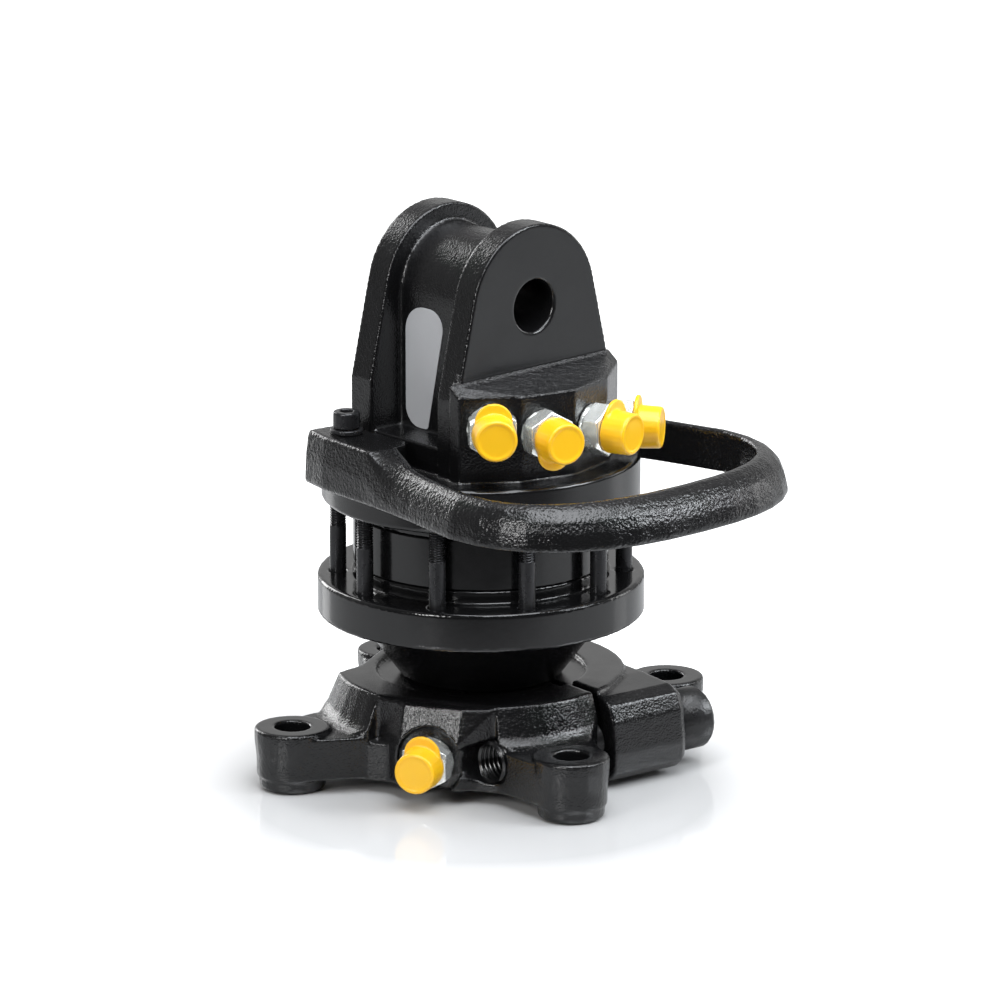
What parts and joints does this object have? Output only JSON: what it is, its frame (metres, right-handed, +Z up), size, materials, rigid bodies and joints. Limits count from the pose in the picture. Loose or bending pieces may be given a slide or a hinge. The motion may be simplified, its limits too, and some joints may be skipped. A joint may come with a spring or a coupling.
{
  "type": "hydraulic rotator",
  "caption": "Hydraulic rotator with a two-eared head, hose guard loop, bolted vane motor housing and a split clamp flange with lug feet.",
  "frame": {"origin": "centre of the shaft's lower face, level with the feet, on the rotation axis", "axes": "+Z up along the rotation axis, -Y towards the ports and the guard's bar, pin bore along Y"},
  "size_m": [0.225, 0.2649, 0.2708],
  "materials": {
    "gloss_black_paint": "gloss",
    "cast_black_paint": "satin over fine casting",
    "guard_black_paint": "satin over coarse casting",
    "black_screw_steel": "blackened",
    "zinc_plate": "bright zinc",
    "yellow_plastic": "gloss",
    "bearing_bronze": "turned",
    "black_rubber": "matt",
    "ground_steel": "ground"
  },
  "bodies": {
    "shaft_and_flange": {"rotor_shaft": "ground_steel", "clamp_flange": "cast_black_paint", "clamp_bolt": "black_screw_steel", "retaining_ring": "ground_steel", "vane_1": "ground_steel", "vane_2": "ground_steel", "vane_3": "ground_steel", "vane_4": "ground_steel", "vane_5": "ground_steel", "vane_6": "ground_steel", "vane_spring_1": "ground_steel", "vane_spring_2": "ground_steel", "vane_spring_3": "ground_steel", "vane_spring_4": "ground_steel", "vane_spring_5": "ground_steel", "vane_spring_6": "ground_steel", "union_seal_1": "black_rubber", "union_seal_2": "black_rubber", "hub_seal_1": "black_rubber", "hub_seal_2": "black_rubber", "hub_seal_3": "black_rubber", "gallery_plug": "ground_steel", "port_adapter_flange_front": "zinc_plate", "port_adapter_flange_rear": "zinc_plate", "port_cap_flange_front": "yellow_plastic", "port_cap_flange_rear": "yellow_plastic"},
    "housing": {"head_casting": "cast_black_paint", "stator_ring": "cast_black_paint", "lower_cover": "gloss_black_paint", "hose_guard": "guard_black_paint", "guard_screw_left": "black_screw_steel", "guard_screw_right": "black_screw_steel", "guard_washer_left": "black_screw_steel", "guard_washer_right": "black_screw_steel", "through_bolt_01": "black_screw_steel", "through_bolt_02": "black_screw_steel", "through_bolt_03": "black_screw_steel", "through_bolt_04": "black_screw_steel", "through_bolt_05": "black_screw_steel", "through_bolt_06": "black_screw_steel", "through_bolt_07": "black_screw_steel", "through_bolt_08": "black_screw_steel", "through_bolt_09": "black_screw_steel", "through_bolt_10": "black_screw_steel", "port_adapter_upper_1": "zinc_plate", "port_adapter_upper_2": "zinc_plate", "port_adapter_upper_3": "zinc_plate", "port_adapter_upper_4": "zinc_plate", "port_cap_upper_1": "yellow_plastic", "port_cap_upper_2": "yellow_plastic", "port_cap_upper_3": "yellow_plastic", "port_cap_upper_4": "yellow_plastic", "upper_bush": "bearing_bronze", "lower_bush": "bearing_bronze", "upper_thrust_washer": "bearing_bronze", "lower_thrust_washer": "bearing_bronze", "shaft_seal": "black_rubber", "stator_oring_lower": "black_rubber", "stator_oring_upper": "black_rubber", "stator_dowel": "ground_steel"}
  },
  "joints": [
    {"name": "rotation", "type": "hinge", "parent": "shaft_and_flange", "child": "housing", "pos_m": [0, 0, 0.1], "axis": [0, 0, 1], "continuous": true}
  ]
}
